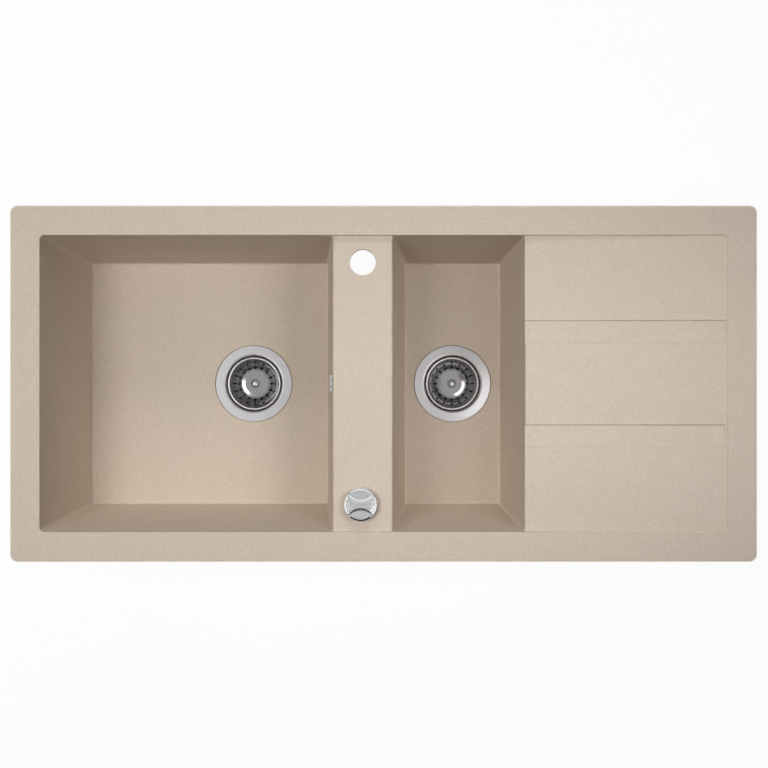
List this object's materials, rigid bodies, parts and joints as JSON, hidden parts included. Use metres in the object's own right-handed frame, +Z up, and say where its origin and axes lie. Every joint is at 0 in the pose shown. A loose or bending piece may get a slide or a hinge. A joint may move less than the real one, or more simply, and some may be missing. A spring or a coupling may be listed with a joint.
{
  "type": "kitchen sink with drainer",
  "caption": "Inset granite composite sink with a large bowl, a half bowl and a drainer, basket strainer wastes, an overflow and a rotary knob that raises the strainer.",
  "frame": {"origin": "centre of the rim's underside, which lies on the worktop", "axes": "+X along the sink towards the drainer, +Y towards the wall behind the sink, +Z up"},
  "size_m": [1, 0.477, 0.3233],
  "materials": {
    "granite_composite": "matt",
    "satin_steel": "satin",
    "satin_chrome": "satin",
    "black_rubber": "matt",
    "grey_plastic": "matt",
    "black_plastic": "matt",
    "brass": "turned"
  },
  "bodies": {
    "sink": {"sink_body": "granite_composite", "main_flange": "satin_steel", "small_flange": "satin_steel", "main_bolt": "satin_steel", "small_bolt": "satin_steel", "overflow_screw": "satin_steel", "knob_ring": "satin_chrome", "overflow_cover": "satin_chrome", "main_flange_seal": "black_rubber", "small_flange_seal": "black_rubber", "main_body_seal": "black_rubber", "small_body_seal": "black_rubber", "overflow_seal": "black_rubber", "knob_ring_seal": "black_rubber", "control_washer": "black_rubber", "main_waste_body": "grey_plastic", "small_waste_body": "grey_plastic", "overflow_elbow": "grey_plastic", "overflow_pipe": "grey_plastic", "lever_gland": "black_plastic", "overflow_upper_nut": "black_plastic", "overflow_lower_nut": "black_plastic", "control_sleeve": "black_plastic", "control_nut": "black_plastic", "cable_box": "black_plastic", "cable_box_lid": "black_plastic"},
    "knob": {"control_knob": "satin_chrome", "control_spindle": "black_plastic"},
    "lever": {"lift_lever": "black_plastic"},
    "lift_pin": {"lift_pin": "brass"},
    "main_basket": {"main_basket": "satin_steel", "main_basket_stem": "satin_chrome", "main_basket_seal": "black_rubber"},
    "small_basket": {"small_basket": "satin_steel", "small_basket_stem": "satin_chrome", "small_basket_seal": "black_rubber"}
  },
  "joints": [
    {"name": "knob_turn", "type": "hinge", "parent": "sink", "child": "knob", "pos_m": [-0.0305, -0.1615, 0.003], "axis": [0, 0, -1], "range_deg": [0, 90]},
    {"name": "lift_lever_turn", "type": "hinge", "parent": "sink", "child": "lever", "pos_m": [-0.214, 0, -0.263], "axis": [0, -1, 0], "range_deg": [0, 30]},
    {"name": "lift_pin_rise", "type": "slide", "parent": "sink", "child": "lift_pin", "axis": [0, 0, 1], "range_m": [0, 0.008]},
    {"name": "main_basket_lift_out", "type": "slide", "parent": "lift_pin", "child": "main_basket", "axis": [0, 0, 1], "range_m": [0, 0.06]},
    {"name": "small_basket_lift_out", "type": "slide", "parent": "sink", "child": "small_basket", "axis": [0, 0, 1], "range_m": [0, 0.06]}
  ],
  "couplings": [
    {"joint": "lift_lever_turn", "follows": "knob_turn", "ratio": 0.33333},
    {"joint": "lift_pin_rise", "follows": "knob_turn", "m_per_rad": 0.005093}
  ]
}
